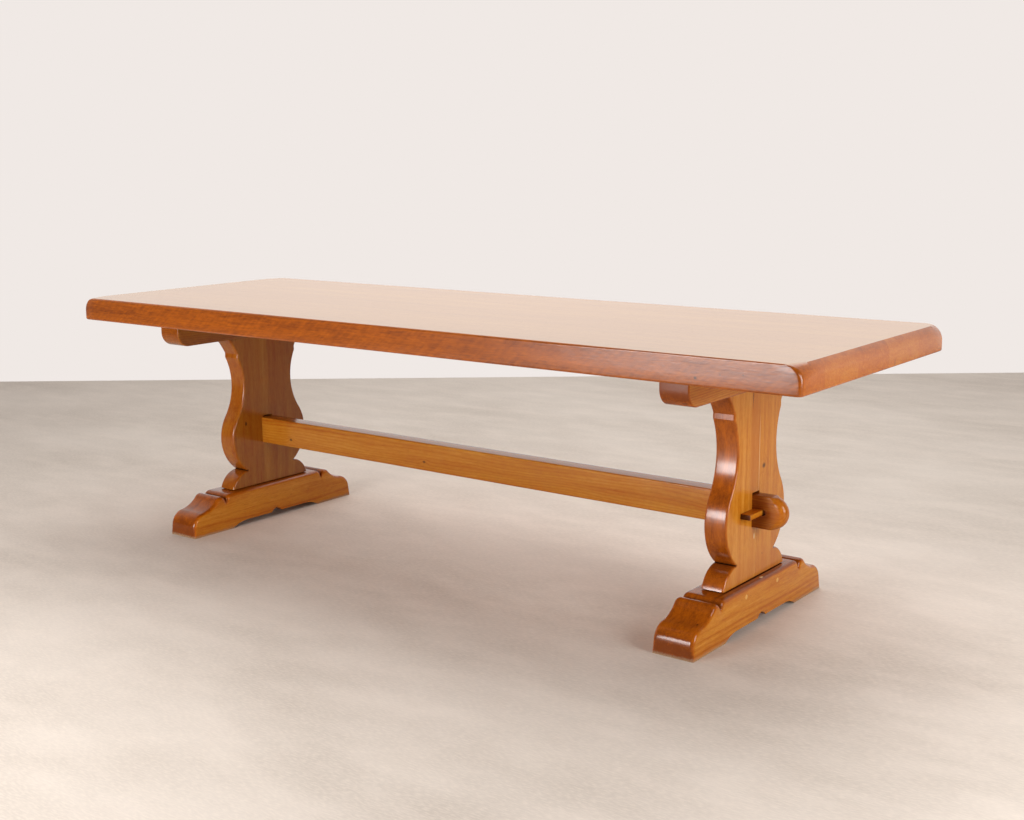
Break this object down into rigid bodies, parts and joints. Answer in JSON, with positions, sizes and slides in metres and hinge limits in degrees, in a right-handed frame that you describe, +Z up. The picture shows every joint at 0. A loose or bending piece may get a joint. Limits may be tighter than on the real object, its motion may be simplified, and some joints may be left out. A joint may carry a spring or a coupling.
{
  "type": "trestle dining table",
  "caption": "Long solid-wood dining table: thick plank top on shaped trestles with ogee feet, tied by a stretcher whose through tenons are locked by loose keys.",
  "frame": {"origin": "on the floor, under the middle of the top", "axes": "+X along the table's length, +Y across it to the rear, +Z up"},
  "size_m": [2.495, 0.835, 0.75],
  "materials": {
    "top_wood": "satin varnish over honey-stained solid wood",
    "upright_wood": "satin varnish over honey-stained solid wood",
    "foot_wood": "satin varnish over honey-stained solid wood",
    "bearer_wood": "satin varnish over honey-stained solid wood",
    "stretcher_wood": "satin varnish over honey-stained solid wood",
    "key_wood": "satin varnish over honey-stained solid wood",
    "peg_wood": "pale end grain under the varnish",
    "screw_steel": "zinc plated"
  },
  "bodies": {
    "table": {"top_board_1": "top_wood", "top_board_2": "top_wood", "top_board_3": "top_wood", "top_board_4": "top_wood", "top_board_5": "top_wood", "stretcher": "stretcher_wood", "left_foot": "foot_wood", "left_upright_front_board": "upright_wood", "left_upright_rear_board": "upright_wood", "left_bearer": "bearer_wood", "left_foot_pegs": "peg_wood", "left_bearer_pegs": "peg_wood", "left_top_screws": "screw_steel", "right_foot": "foot_wood", "right_upright_front_board": "upright_wood", "right_upright_rear_board": "upright_wood", "right_bearer": "bearer_wood", "right_foot_pegs": "peg_wood", "right_bearer_pegs": "peg_wood", "right_top_screws": "screw_steel"},
    "left_key": {"left_key": "key_wood"},
    "right_key": {"right_key": "key_wood"}
  },
  "joints": [
    {"name": "left_key_slide", "type": "slide", "parent": "table", "child": "left_key", "axis": [0, -1, 0], "range_m": [0, 0.16]},
    {"name": "right_key_slide", "type": "slide", "parent": "table", "child": "right_key", "axis": [0, -1, 0], "range_m": [0, 0.16]}
  ]
}
